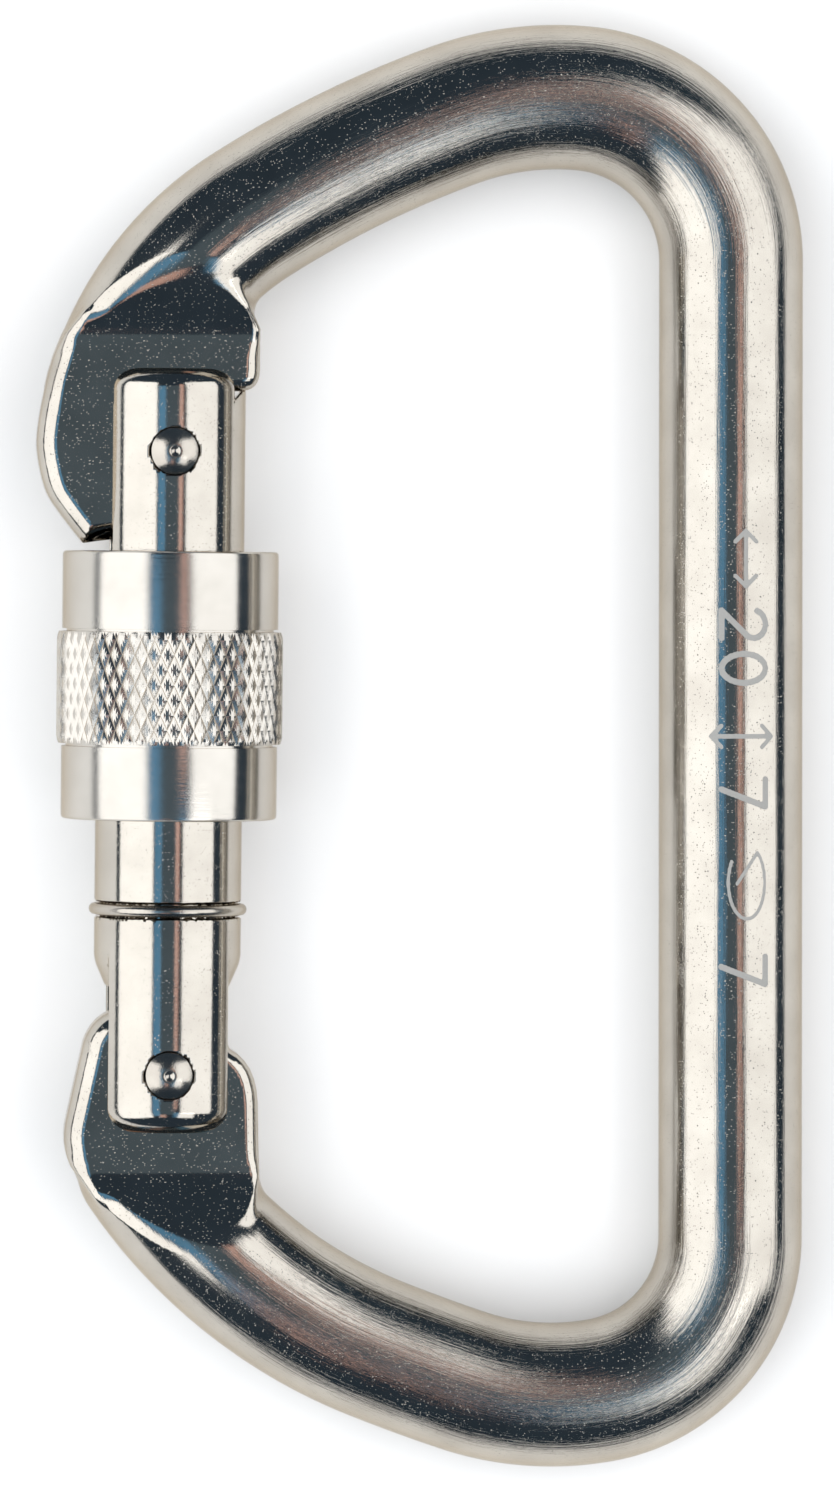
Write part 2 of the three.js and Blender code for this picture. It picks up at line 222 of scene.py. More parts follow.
def mesh_field(field, xs, ys, zs):
    """Points, quads and normals of the surface where field is zero, on the grid lines given.

    One point per crossed cell, moved onto the surface along the field's gradient."""
    values = np.asarray(field(xs[:, None, None], ys[None, :, None], zs[None, None, :]), float)
    inside = values < 0
    shape = tuple(n - 1 for n in values.shape)

    def corner(array, offset):
        return array[tuple(slice(o, o + n) for o, n in zip(offset, shape))]

    count = sum(corner(inside, o).astype(np.int8) for o in CELL_CORNERS)
    active = (count > 0) & (count < 8)
    cells = np.argwhere(active)
    ids = np.full(shape, -1)
    ids[active] = np.arange(len(cells))

    lines = (xs, ys, zs)
    total = np.zeros((len(cells), 3))
    crossings = np.zeros(len(cells))
    for a in CELL_CORNERS:
        for axis in range(3):
            if a[axis]:
                continue
            b = tuple(1 if k == axis else a[k] for k in range(3))
            ia, ib = cells + a, cells + b
            va, vb = values[tuple(ia.T)], values[tuple(ib.T)]
            crossed = (va < 0) != (vb < 0)
            t = np.where(crossed, va / np.where(crossed, va - vb, 1), 0)
            pa = np.stack([line[i] for line, i in zip(lines, ia.T)], 1)
            pb = np.stack([line[i] for line, i in zip(lines, ib.T)], 1)
            total += np.where(crossed[:, None], pa + t[:, None] * (pb - pa), 0)
            crossings += crossed
    points = total / crossings[:, None]

    quads = []
    for axis in range(3):
        u, v = (axis + 1) % 3, (axis + 2) % 3
        low = [slice(None)] * 3
        high = [slice(None)] * 3
        low[axis], high[axis] = slice(0, -1), slice(1, None)
        edges = np.argwhere(inside[tuple(low)] != inside[tuple(high)])
        keep = (edges[:, u] > 0) & (edges[:, v] > 0)
        keep &= (edges[:, u] < values.shape[u] - 1) & (edges[:, v] < values.shape[v] - 1)
        edges = edges[keep]
        ring = []
        for du, dv in ((-1, -1), (0, -1), (0, 0), (-1, 0)):
            near = edges.copy()
            near[:, u] += du
            near[:, v] += dv
            ring.append(ids[tuple(near.T)])
        ring = np.stack(ring, 1)
        starts_inside = inside[tuple(edges.T)]
        quads.append(np.where(starts_inside[:, None], ring, ring[:, ::-1]))

    reach = 0.5 * min(np.diff(line).max() for line in lines)
    for _ in range(4):
        slope = gradient(field, points)
        size = np.maximum((slope**2).sum(1), 1e-6)
        step = (field(*points.T) / size)[:, None] * slope
        points -= np.clip(step, -reach, reach)
    slope = gradient(field, points)
    normals = slope / np.maximum(np.linalg.norm(slope, axis=1), 1e-9)[:, None]
    return points, np.concatenate(quads), normals


# ---------------------------------------------------------------- frame


def bow_arcs(bow, start_y, side):
    """(centre x, centre y, radius, start angle, end angle) of each arc, leaving the spine."""
    arcs = []
    cx, cy, angle = SPINE_X - bow[0][0], start_y, 0.0
    for i, (radius, turn) in enumerate(bow):
        end = angle + side * math.radians(turn)
        arcs.append((cx, cy, radius, angle, end))
        angle = end
        if i + 1 < len(bow):
            shift = radius - bow[i + 1][0]
            cx += shift * math.cos(angle)
            cy += shift * math.sin(angle)
    return arcs


TOP_ARCS = bow_arcs(TOP_BOW, SPINE_TOP_Y, 1)
BOTTOM_ARCS = bow_arcs(BOTTOM_BOW, SPINE_BOTTOM_Y, -1)


def centreline(x, y):
    """Distance to the bar's centreline, place along it, and the side of it (1 outer, -1 inner)."""
    dy = np.maximum(np.maximum(y - SPINE_TOP_Y, SPINE_BOTTOM_Y - y), 0)
    best = np.hypot(x - SPINE_X, dy)
    along = np.clip(y, SPINE_BOTTOM_Y, SPINE_TOP_Y) + 0 * x
    side = np.where(x > SPINE_X, 1, -1) + 0 * y
    for arcs, sign in ((TOP_ARCS, 1), (BOTTOM_ARCS, -1)):
        start = SPINE_TOP_Y if sign > 0 else SPINE_BOTTOM_Y
        for cx, cy, radius, a0, a1 in arcs:
            middle, half = (a0 + a1) / 2, abs(a1 - a0) / 2
            turn = (np.arctan2(y - cy, x - cx) - middle + math.pi) % (2 * math.pi) - math.pi
            held = np.clip(turn, -half, half)
            ex = cx + radius * np.cos(middle + held)
            ey = cy + radius * np.sin(middle + held)
            distance = np.hypot(x - ex, y - ey)
            here = start + radius * (middle + held - a0)
            outer = np.where(np.hypot(x - cx, y - cy) > radius, 1, -1)
            closer = distance < best
            best = np.where(closer, distance, best)
            along = np.where(closer, here, along)
            side = np.where(closer, outer, side)
            start += radius * (a1 - a0)
    return best, along, side


def nose_outline():
    cx, cy, radius = TOP_ARCS[-1][:3]
    swing = 42.6
    inner_x, tip_x, hook_x, hook_y = -17.15, -26.76, -12.72, 28.4
    tip = math.degrees(math.acos((tip_x - HINGE_X) / swing))
    inner = math.degrees(math.acos((inner_x - HINGE_X) / swing))
    outer = arc_points(cx, cy, radius + BAR_RADIUS, radius + BAR_RADIUS, 161, 170.5, 6)
    bottom = arc_points(HINGE_X, HINGE_Y, swing, swing, tip, inner, 8)
    side = spline_points([outer[-1], (-30.42, 23.9), (-29.79, 20.73), (-28.69, 18.84), bottom[0]])
    hook = bend_points((hook_x - 1.5, hook_y), (hook_x, hook_y), (hook_x, hook_y + 1.7))
    corner = [(inner_x, hook_y)]
    throat = [(hook_x, NOSE_FLAT_Y + 0.4), (-13.6, 35.2), (-15.0, 36.6), (-21, 38.4)]
    into_bar = [(-26.6, 34.9), (-28.2, 32.95)]
    return outer[:-1] + side[:-1] + bottom + corner + hook + throat + into_bar


def hinge_outline():
    sweep = np.radians(np.linspace(30, 0, 7))
    cam = [((5 + 2.5 * a) * math.sin(a), (5 + 2.5 * a) * math.cos(a)) for a in sweep]
    left = bend_points((-4, 5), (-5.8, 4.6), (-6.6, 2.57))
    left += bend_points((-8.0, -3.6), (-8.5, -5.6), (-7.7, -7.4))
    right = [(5.9, -11.2), (6.85, -9.6), (7.3, -8.2)]
    right += bend_points((7.21, -2.4), (7.1, 0.8), (4.98, 1.85))
    local = cam + left + [(-5.4, -10.6), (-2, -12.6)] + right + [(4.2, 4.2)]
    return [(x + HINGE_X, y + HINGE_Y) for x, y in local]


NOSE_OUTLINE = nose_outline()
HINGE_OUTLINE = hinge_outline()
LATCH_POINT = (HINGE_X + LATCH_PIN_Y * gate_axis.x, HINGE_Y + LATCH_PIN_Y * gate_axis.y)


def tab_rounding(climb, outside):
    """Radius of the tabs' edges: wider round the flats than along the ramps, and on the outside."""
    beside_flat = 1.1 + 0.65 * outside
    beside_ramp = 0.5 + 0.45 * outside
    return beside_ramp + (beside_flat - beside_ramp) * smoothstep((1.2 - climb) / 3.5)


def over_tab(x, y, height, flat_y, away):
    """Distance over a tab's flat and the ramp that climbs from it to the round bar."""
    over_flat = height - TAB_HALF
    climb = away * (y - flat_y)
    over_ramp = (over_flat - RAMP_SLOPE * climb) / math.hypot(1, RAMP_SLOPE)
    kept = round_union(over_flat, over_ramp, 0.4)
    return np.minimum(kept, np.minimum(TAB_AREA_X - x, away * y - TAB_AREA_Y))


def frame_field(x, y, z):
    height = np.abs(z)
    distance = centreline(x, y)[0]
    body = np.hypot(distance, z) - BAR_RADIUS
    climb = np.maximum(y - NOSE_FLAT_Y, HINGE_FLAT_Y - y)
    outside = 1 - smoothstep((x + 21) / 5)
    rounding = tab_rounding(climb, outside)
    plate_half = TAB_HALF + 0.05 + rounding * (1 - outside * smoothstep((climb - 0.8) / 2.6))
    plate_half = plate_half + RAMP_SLOPE * (1 - outside) * np.clip(climb, 0, 2)
    blend = 0.4 + 0.9 * smoothstep((x + 19) / 4)
    for outline in (NOSE_OUTLINE, HINGE_OUTLINE):
        flat = polygon_distance(x, y, outline)
        body = round_union(body, rounded_box(flat, height - plate_half, 0.7), blend)
    body = round_common(body, over_tab(x, y, height, NOSE_FLAT_Y, 1), rounding)
    body = round_common(body, over_tab(x, y, height, HINGE_FLAT_Y, -1), rounding)
    lx, ly = LATCH_POINT
    hole = np.hypot(x - lx, y - ly) - 2.1
    mouth = rounded_box(np.maximum(lx - x, x + 15), np.maximum(ly - 1.87 - y, y - ly - 2.1), 0.01)
    body = round_common(body, -np.minimum(hole, mouth), 0.2)
    bore = np.hypot(x - HINGE_X, y - HINGE_Y) - 1.6
    return np.maximum(body, -bore)


def build_frame():
    xs = graded(-31.8, 31.6, 0.42, [(-32, -11.5)], 0.25)
    ys = graded(-58.4, 58.6, 0.55, [(-41.5, -19.5), (14.5, 40.5)], 0.25)
    zs = np.linspace(-6.2, 6.2, 43)
    points, quads, normals = mesh_field(frame_field, xs, ys, zs)
    obj = mesh_object("frame_bar", points, quads, frame_matrix, normals)
    distance, along, side = centreline(points[:, 0], points[:, 1])
    around = np.arctan2(points[:, 2], distance * side)
    grain = np.stack([along, np.cos(around) * BAR_RADIUS, np.sin(around) * BAR_RADIUS], 1)
    x, y, height = points[:, 0], points[:, 1], np.abs(points[:, 2])
    nose_gap = np.abs(over_tab(x, y, height, NOSE_FLAT_Y, 1))
    hinge_gap = np.abs(over_tab(x, y, height, HINGE_FLAT_Y, -1))
    bent = np.maximum(along - SPINE_TOP_Y, SPINE_BOTTOM_Y - along)
    drawn = 0.2 + 0.8 * smoothstep((bent + 4) / 12) * (1 - smoothstep((bent - 40) / 14))
    store_grain(obj, grain, drawn * smoothstep(np.minimum(nose_gap, hinge_gap) / 0.3))
    return obj


def store_grain(obj, vectors, worked=None):
    """Keeps where each point lies along and around the work, and how strong its tool marks are."""
    attribute = obj.data.attributes.new("grain", "FLOAT_VECTOR", "POINT")
    attribute.data.foreach_set("vector", vectors.astype(np.float32).ravel())
    strength = np.ones(len(vectors)) if worked is None else worked
    attribute = obj.data.attributes.new("worked", "FLOAT", "POINT")
    attribute.data.foreach_set("value", strength.astype(np.float32))


# ---------------------------------------------------------------- gate


def thread_height(y, angle, start, end):
    """Height of a right-hand thread's ridge, from 0 to 1, fading in at both ends."""
    phase = (y / THREAD_PITCH - angle / (2 * math.pi)) % 1
    ridge = np.clip(1.7 - 4.4 * np.abs(phase - 0.5), 0, 1)
    return ridge * smoothstep((y - start) / 0.8) * smoothstep((end - y) / 0.8)


def gate_field(x, y, z):
    rho = np.hypot(x, z)
    height = np.abs(z)
    middle, half = (GATE_BOTTOM + GATE_TOP) / 2, (GATE_TOP - GATE_BOTTOM) / 2
    ends = np.where(y > middle, 1.6, 1.9)
    body = rounded_box(rho - GATE_RADIUS, np.abs(y - middle) - half, ends)
    ridge = 0.45 * thread_height(y, np.arctan2(x, z), THREAD_START, THREAD_END)
    body = np.where(ridge > 0, np.maximum(body - ridge, rho - 6.3), body)
    groove = np.maximum(np.abs(y - RING_Y) - 0.62, 5.3 - rho)
    body = round_common(body, -groove, 0.08)

    hinge_slot = np.maximum(height - SLOT_HALF, y - HINGE_SLOT_END)
    shoulder = np.maximum(height - SLOT_HALF, (y - 8.9 + (5.85 - rho) * 2.3) / 2.5)
    nose_slot = np.maximum(np.maximum(height - SLOT_HALF, NOSE_SLOT_START - y), x - WEB_X)
    over_web = np.maximum(height - SLOT_HALF, WEB_TOP - y + np.maximum(x - 4.6, 0) * 1.1)
    for cut in (hinge_slot, shoulder, nose_slot, over_web):
        body = round_common(body, -cut, 0.22)

    bore = np.maximum(rho - 2.1, np.maximum(5 - y, y - 25.6))
    body = np.maximum(body, -bore)
    for pin_y in (0, LATCH_PIN_Y):
        radial = np.hypot(x, y - pin_y)
        shaft = radial - 1.6
        seat = np.maximum(radial - 1.9, 4.4 - height)
        body = np.maximum(body, -np.minimum(shaft, seat))
    return body


def build_gate():
    xs = np.linspace(-6.7, 6.7, 56)
    fine = [(-5, 10), (11.5, 14.5), (38.5, 57), (24.8, 34)]
    ys = graded(-5.1, 56.3, 0.6, fine, 0.24)
    points, quads, normals = mesh_field(gate_field, xs, ys, xs)
    obj = mesh_object("gate_barrel", points, quads, gate_matrix, normals)
    store_grain(obj, points[:, [1, 0, 2]])
    return obj


# ---------------------------------------------------------------- revolved pieces


def revolve(name, profile, columns, matrix, radius_of):
    """A closed ring of rows from a closed profile of (radius, y). radius_of gives a row's radius
    at each angle. Each square is split along its lower diagonal, which keeps the valleys straight."""
    angles = np.arange(columns) * 2 * math.pi / columns
    rows = []
    for index, (radius, y) in enumerate(profile):
        radii = radius_of(index, radius, y, angles)
        rows.append(np.stack([radii * np.sin(angles), np.full(columns, y), radii * np.cos(angles)], 1))
    points = np.concatenate(rows)
    radii = np.hypot(points[:, 0], points[:, 2])
    faces = []
    count = len(profile)
    for i in range(count):
        j = (i + 1) % count
        for k in range(columns):
            m = (k + 1) % columns
            a, b, c, d = i * columns + k, i * columns + m, j * columns + m, j * columns + k
            if radii[a] + radii[c] < radii[b] + radii[d]:
                faces += [(a, b, c), (a, c, d)]
            else:
                faces += [(a, b, d), (b, c, d)]
    obj = mesh_object(name, points, faces, matrix)
    obj.data.set_sharp_from_angle(angle=math.radians(25))
    store_grain(obj, points[:, [1, 0, 2]])
    return obj


def capped(name, profile, columns, matrix):
    """A solid of revolution whose profile starts and ends on the axis."""
    angles = np.arange(columns) * 2 * math.pi / columns
    points = [(0, profile[0][1], 0)]
    for radius, y in profile[1:-1]:
        points += [(radius * math.sin(a), y, radius * math.cos(a)) for a in angles]
    points.append((0, profile[-1][1], 0))
    faces = []
    last = len(profile) - 3
    for k in range(columns):
        m = (k + 1) % columns
        faces.append((0, 1 + m, 1 + k))
        for i in range(last):
            a, b = 1 + i * columns, 1 + (i + 1) * columns
            faces.append((a + k, a + m, b + m, b + k))
        top = 1 + last * columns
        faces.append((top + k, top + m, len(points) - 1))
    obj = mesh_object(name, points, faces, matrix)
    obj.data.set_sharp_from_angle(angle=math.radians(35))
    store_grain(obj, np.array(points)[:, [1, 0, 2]])
    return obj


def corner_round(profile, radius, steps=3):
    """The profile with each corner that is marked by a third value of 1 rounded off."""
    made = []
    count = len(profile)
    for i, point in enumerate(profile):
        if len(point) < 3:
            made.append(point)
            continue
        here = np.array(point[:2])
        before = np.array(profile[i - 1][:2]) - here
        after = np.array(profile[(i + 1) % count][:2]) - here
        cut = radius * point[2]
        a = here + before / np.linalg.norm(before) * cut
        b = here + after / np.linalg.norm(after) * cut
        made += bend_points(tuple(a), tuple(here), tuple(b), steps)
    return made


def build_sleeve():
    """Sleeve with a real diamond knurl outside and a screw thread inside."""
    rows = round(KNURL_ROWS * KNURL_STEPS)
    knurl_rows = np.linspace(KNURL_START, KNURL_END, rows + 1)
    thread_low, thread_high = 23.2, 40.2
    outer = [
        (6.1, SLEEVE_START, 1),
        (SLEEVE_RADIUS, SLEEVE_START, 2.2),
        (SLEEVE_RADIUS, KNURL_START - 0.22),
        (SLEEVE_RADIUS - 0.35, KNURL_START - 0.2),
        (SLEEVE_RADIUS - 0.35, KNURL_START - 0.02),
    ]
    top = [
        (SLEEVE_RADIUS - 0.35, KNURL_END + 0.02),
        (SLEEVE_RADIUS - 0.35, KNURL_END + 0.2),
        (SLEEVE_RADIUS, KNURL_END + 0.22),
        (SLEEVE_RADIUS, SLEEVE_END, 2.2),
        (7.95, SLEEVE_END, 0.8),
        (7.55, SLEEVE_END - 1),
        (6.75, SLEEVE_END - 1.1),
    ]
    thread = [(6.75, y) for y in np.arange(thread_high, thread_low, -0.2)]
    inner = [(6.75, 23.0), (6.1, 22.7)]
    start = corner_round(outer, 0.15)
    knurl = [(KNURL_RADIUS, y) for y in knurl_rows]
    profile = start + knurl + corner_round(top, 0.15) + thread + inner
    first_knurl = len(start)
    first_thread = len(profile) - len(thread) - len(inner)

    def radius_of(index, radius, y, angles):
        if first_knurl <= index < first_knurl + len(knurl):
            turn = KNURL_COUNT * angles / (2 * math.pi)
            climb = KNURL_ROWS * (y - KNURL_START) / (KNURL_END - KNURL_START)
            ridges = [np.abs((turn + sign * climb) % 1 - 0.5) for sign in (1, -1)]
            crest = np.minimum(*[1 - 2 * ridge for ridge in ridges]) / KNURL_CREST
            edge = min(index - first_knurl, rows - (index - first_knurl)) / 1.5
            return radius - KNURL_DEPTH * (1 - np.minimum(crest, min(edge, 1)))
        if first_thread <= index < first_thread + len(thread):
            inward = thread_height(y + THREAD_PITCH / 2, angles, thread_low, thread_low + 9)
            return radius - 0.42 * inward
        return np.full(len(angles), radius)

    columns = KNURL_COUNT * KNURL_STEPS
    obj = revolve("sleeve_knurled", profile, columns, gate_matrix, radius_of)
    on_knurl = np.arange(len(profile)) - first_knurl
    rough = (on_knurl >= 0) & (on_knurl <= rows)
    attribute = obj.data.attributes.new("pressed", "FLOAT", "POINT")
    attribute.data.foreach_set("value", np.repeat(rough, columns).astype(np.float32))
    return obj


def build_ring():
    """Wire stop ring with its cut at the back."""
    wire, radius = 0.46, 5.84
    turns, sides = 96, 12
    gap = 0.05
    points, faces = [], []
    for i in range(turns + 1):
        a = math.pi + gap + (2 * math.pi - 2 * gap) * i / turns
        for k in range(sides):
            b = 2 * math.pi * k / sides
            r = radius + wire * math.cos(b)
            points.append((r * math.sin(a), RING_Y + wire * math.sin(b), r * math.cos(a)))
    for i in range(turns):
        for k in range(sides):
            m = (k + 1) % sides
            low, high = i * sides, (i + 1) * sides
            faces.append((low + k, high + k, high + m, low + m))
    obj = mesh_object("stop_ring_wire", points, faces, gate_matrix)
    close_ends(obj)
    store_grain(obj, np.array(points)[:, [1, 0, 2]])
    return obj


def close_ends(obj):
    """Fills the open ends of a tube and turns all faces outward."""
    work = bmesh.new()
    work.from_mesh(obj.data)
    bmesh.ops.holes_fill(work, edges=[e for e in work.edges if e.is_boundary], sides=0)
    bmesh.ops.recalc_face_normals(work, faces=work.faces)
    work.to_mesh(obj.data)
    work.free()
    obj.data.set_sharp_from_angle(angle=math.radians(40))


def build_rivet(name, pin_y):
    """Rivet through both forks, its heads domed, with a punch mark in each."""
    dome = 3.0
    edge = math.asin(1.84 / dome)
    head = [(0, 6.1), (0.15, 6.12), (0.3, 6.24), (0.4, 6.31)]
    for a in np.linspace(0.15, edge, 9):
        head.append((dome * math.sin(a), 6.36 - dome * (1 - math.cos(a))))
    head += [(1.84, 4.7), (1.5, 4.45)]
    profile = [(r, -y) for r, y in head] + [(r, y) for r, y in reversed(head)]
    across = Matrix.Rotation(math.radians(90), 4, "X")
    matrix = gate_matrix @ Matrix.Translation((0, pin_y, 0)) @ across
    return capped(name, profile, 48, matrix)


def build_plunger():
    """Round-nosed pin with a shallow groove round it."""
    radius, tip = 1.8, 5.35
    nose = [
        (radius * math.sin(a), tip + radius * (1 - math.cos(a)))
        for a in np.radians(np.arange(0, 91, 15))
    ]
    groove = [(radius, 8.2), (1.7, 8.3), (1.7, 9.0), (radius, 9.1)]
    end = [(radius, 12.25), (1.65, 12.4), (0, 12.4)]
    profile = nose + groove + end
    return capped("plunger_pin", profile, 40, gate_matrix)


def build_spring():
    """Coil spring with closed, ground-looking ends."""
    wire, radius, sides = 0.32, 1.5, 8
    low, high = 12.75, 25.25
    coils, per_turn = 11, 28
    points, faces = [], []
    count = coils * per_turn
    for i in range(count + 1):
        t = i / count
        eased = smoothstep(np.array((t * coils - 0.4) / (coils - 0.8)))
        lift = 0.75 * t + 0.25 * float(eased)
        a = 2 * math.pi * coils * t
        y = low + wire + (high - low - 2 * wire) * lift
        centre = np.array((radius * math.sin(a), y, radius * math.cos(a)))
        outward = np.array((math.sin(a), 0, math.cos(a)))
        for k in range(sides):
            b = 2 * math.pi * k / sides
            points.append(centre + wire * (outward * math.cos(b) + np.array((0, math.sin(b), 0))))
    for i in range(count):
        for k in range(sides):
            m = (k + 1) % sides
            faces.append((i * sides + k, (i + 1) * sides + k, (i + 1) * sides + m, i * sides + m))
    obj = mesh_object("gate_coil", points, faces, gate_matrix)
    close_ends(obj)
    store_grain(obj, np.array(points)[:, [1, 0, 2]])
    return obj


# ---------------------------------------------------------------- etched marks


def arrow(a, b, head):
    """Strokes of a line with a head at both ends."""
    a, b = np.array(a, float), np.array(b, float)
    along = (b - a) / np.linalg.norm(b - a)
    across = np.array((-along[1], along[0]))
    strokes = [[tuple(a), tuple(b)]]
    for tip, back in ((a, along), (b, -along)):
        wings = [tip + head * (back + across * s) for s in (1, -1)]
        strokes.append([tuple(wings[0]), tuple(tip), tuple(wings[1])])
    return strokes


def digit(character, at):
    """Strokes of a plain digit 2.8 mm wide and 4.1 mm high. at is its lower left corner."""
    if character == "0":
        strokes = [arc_points(1.4, 2.05, 1.15, 1.8, 0, 360, 20)]
    elif character == "2":
        strokes = [arc_points(1.4, 2.85, 1.1, 1.0, 165, -35, 10) + [(0.3, 0.25), (2.5, 0.25)]]
    else:
        strokes = [[(0.3, 3.85), (2.5, 3.85), (1.1, 0.25)]]
    return [[(x + at[0], y + at[1]) for x, y in stroke] for stroke in strokes]


def open_gate_sign(at):
    """A small open-gate sign: a link with a gap and its gate swung in."""
    link = arc_points(3.1, 1.7, 2.9, 1.5, -125, 145, 22)
    gate = [link[-1], (3.2, 0.9)]
    return [[(x + at[0], y + at[1]) for x, y in stroke] for stroke in (link, gate)]


# Strokes run down the spine: the first number counts from the top mark along -Y, the second
# across it towards +X. Marks start at this height above the origin.
MARK_TOP = 17.3
MARKS = (
    [(0.19, s) for s in arrow((0, 0.6), (4.4, 0.6), 0.85)]
    + [(0.26, s) for s in digit("2", (6.0, -1.6)) + digit("0", (9.5, -1.6))]
    + [(0.19, s) for s in arrow((16.3, -2.2), (16.3, 2.8), 0.85)]
    + [(0.26, s) for s in digit("7", (19.4, -1.6))]
    + [(0.15, s) for s in open_gate_sign((24.8, -1.0))]
    + [(0.26, s) for s in digit("7", (33.5, -1.6))]
)


def marks_field(u, v, w):
    flat = np.full(np.broadcast(u, v).shape, 1e9)
    for half_width, stroke in MARKS:
        flat = np.minimum(flat, polyline_distance(u, v, stroke) - half_width)
    return rounded_box(flat, np.abs(w + 0.045) - 0.06, 0.01)


def build_marks():
    us = np.arange(-0.6, 37.2, 0.11)
    vs = np.arange(-2.8, 3.5, 0.11)
    ws = np.arange(-0.16, 0.08, 0.03)
    points, quads, _ = mesh_field(marks_field, us, vs, ws)
    radius = BAR_RADIUS + points[:, 2]
    turn = points[:, 1] / BAR_RADIUS
    wrapped = np.stack(
        [SPINE_X + radius * np.sin(turn), MARK_TOP - points[:, 0], radius * np.cos(turn)], 1
    )
    obj = mesh_object("spine_marks", wrapped, quads, frame_matrix)
    obj.data.set_sharp_from_angle(angle=math.radians(40))
    return obj


# ---------------------------------------------------------------- materials


class Nodes:
    """Short calls for building one material's node tree."""

    def __init__(self, name):
        self.material = bpy.data.materials.new(name)
        self.material.use_nodes = True
        self.tree = self.material.node_tree
        self.shader = self.tree.nodes["Principled BSDF"]

    def node(self, kind, **settings):
        made = self.tree.nodes.new(kind)
        for key, value in settings.items():
            setattr(made, key, value)
        return made

    def link(self, source, target):
        self.tree.links.new(source, target)

    def attribute(self, name):
        return self.node("ShaderNodeAttribute", attribute_name=name).outputs["Vector"]

    def position(self):
        return self.node("ShaderNodeTexCoord").outputs["Object"]

    def scaled(self, vector, scale):
        mapping = self.node("ShaderNodeMapping")
        mapping.inputs["Scale"].default_value = scale
        self.link(vector, mapping.inputs["Vector"])
        return mapping.outputs["Vector"]

    def noise(self, vector, scale, detail=4.0, roughness=0.6):
        made = self.node("ShaderNodeTexNoise")
        made.inputs["Scale"].default_value = scale
        made.inputs["Detail"].default_value = detail
        made.inputs["Roughness"].default_value = roughness
        self.link(vector, made.inputs["Vector"])
        return made.outputs["Fac"]

    def factor(self, name):
        return self.node("ShaderNodeAttribute", attribute_name=name).outputs["Fac"]

    def specks(self, vector, scale, size, share):
        """Small round spots, one in each cell whose random number is above share."""
        made = self.node("ShaderNodeTexVoronoi")
        made.inputs["Scale"].default_value = scale
        self.link(vector, made.inputs["Vector"])
        chosen = self.math("GREATER_THAN", made.outputs["Color"], share)
        return self.math("MULTIPLY", self.ranged(made.outputs["Distance"], 0, size, 1, 0), chosen)

    def ranged(self, value, low, high, out_low, out_high):
        made = self.node("ShaderNodeMapRange")
        made.inputs["From Min"].default_value = low
        made.inputs["From Max"].default_value = high
        made.inputs["To Min"].default_value = out_low
        made.inputs["To Max"].default_value = out_high
        self.link(value, made.inputs["Value"])
        return made.outputs["Result"]

    def math(self, operation, a, b):
        made = self.node("ShaderNodeMath", operation=operation)
        for socket, value in zip(made.inputs, (a, b)):
            if isinstance(value, (int, float)):
                socket.default_value = value
            else:
                self.link(value, socket)
        return made.outputs[0]

    def mixed(self, factor, low, high):
        made = self.node("ShaderNodeMix", data_type="RGBA")
        made.inputs["A"].default_value = (*low, 1)
        made.inputs["B"].default_value = (*high, 1)
        self.link(factor, made.inputs["Factor"])
        return made.outputs["Result"]

    def bump(self, height, strength, distance, under=None):
        made = self.node("ShaderNodeBump")
        made.inputs["Strength"].default_value = strength
        made.inputs["Distance"].default_value = distance
        self.link(height, made.inputs["Height"])
        if under is not None:
            self.link(under, made.inputs["Normal"])
        return made.outputs["Normal"]


def bare_metal(name, dark, light, roughness, grain_scale, grain_bump, specks=0.0, pressed=0.0):
    """Bare worked metal: clouded colour, streaks along the work, fine bloom and small dents.
    Its edges reflect warmer than its face. pressed is how much duller a knurled surface is."""
    n = Nodes(name)
    place = n.position()
    grain = n.attribute("grain")
    streaks = n.noise(n.scaled(grain, grain_scale), 1.0, 5.0, 0.65)
    cloud = n.noise(place, 260.0, 3.0, 0.5)
    fine = n.noise(place, 9000.0, 2.0, 0.5)
    n.link(n.mixed(n.ranged(cloud, 0.3, 0.7, 0, 1), dark, light), n.shader.inputs["Base Color"])
    worn = n.math("ADD", n.math("MULTIPLY", streaks, 0.6), n.math("MULTIPLY", cloud, 0.4))
    low, high = roughness
    dull = n.ranged(worn, 0.3, 0.7, low, high)
    if pressed:
        dull = n.math("ADD", dull, n.math("MULTIPLY", n.factor("pressed"), pressed))
    n.link(dull, n.shader.inputs["Roughness"])
    worked = n.math("MULTIPLY", streaks, n.factor("worked"))
    normal = n.bump(worked, grain_bump, 0.0001)
    normal = n.bump(fine, 0.12, 0.00002, normal)
    if specks:
        normal = n.bump(n.specks(place, 3900.0, 0.23, 0.82), specks, 0.00008, normal)
        normal = n.bump(n.specks(place, 7500.0, 0.3, 0.74), specks, 0.00006, normal)
    n.link(normal, n.shader.inputs["Normal"])
    n.shader.inputs["Metallic"].default_value = 1.0
    n.shader.inputs["Specular Tint"].default_value = (0.76, 0.69, 0.6, 1)
    return n.material


def frame_material():
    return bare_metal(
        "tumbled_aluminium", (0.44, 0.41, 0.365), (0.51, 0.48, 0.43), (0.07, 0.13),
        (0.08, 3.2, 3.2), 0.5, specks=0.5,
    )


def gate_material():
    return bare_metal(
        "turned_aluminium_gate", (0.46, 0.43, 0.385), (0.52, 0.49, 0.44), (0.07, 0.12),
        (2.4, 0.5, 0.5), 0.1, specks=0.3,
    )


def sleeve_material():
    return bare_metal(
        "turned_aluminium_sleeve", (0.49, 0.465, 0.425), (0.55, 0.525, 0.485), (0.1, 0.16),
        (5.0, 0.25, 0.25), 0.15, pressed=0.05,
    )


def steel_material():
    return bare_metal(
        "stainless_steel", (0.4, 0.37, 0.33), (0.5, 0.47, 0.42), (0.14, 0.26),
        (2.0, 2.0, 2.0), 0.15,
    )


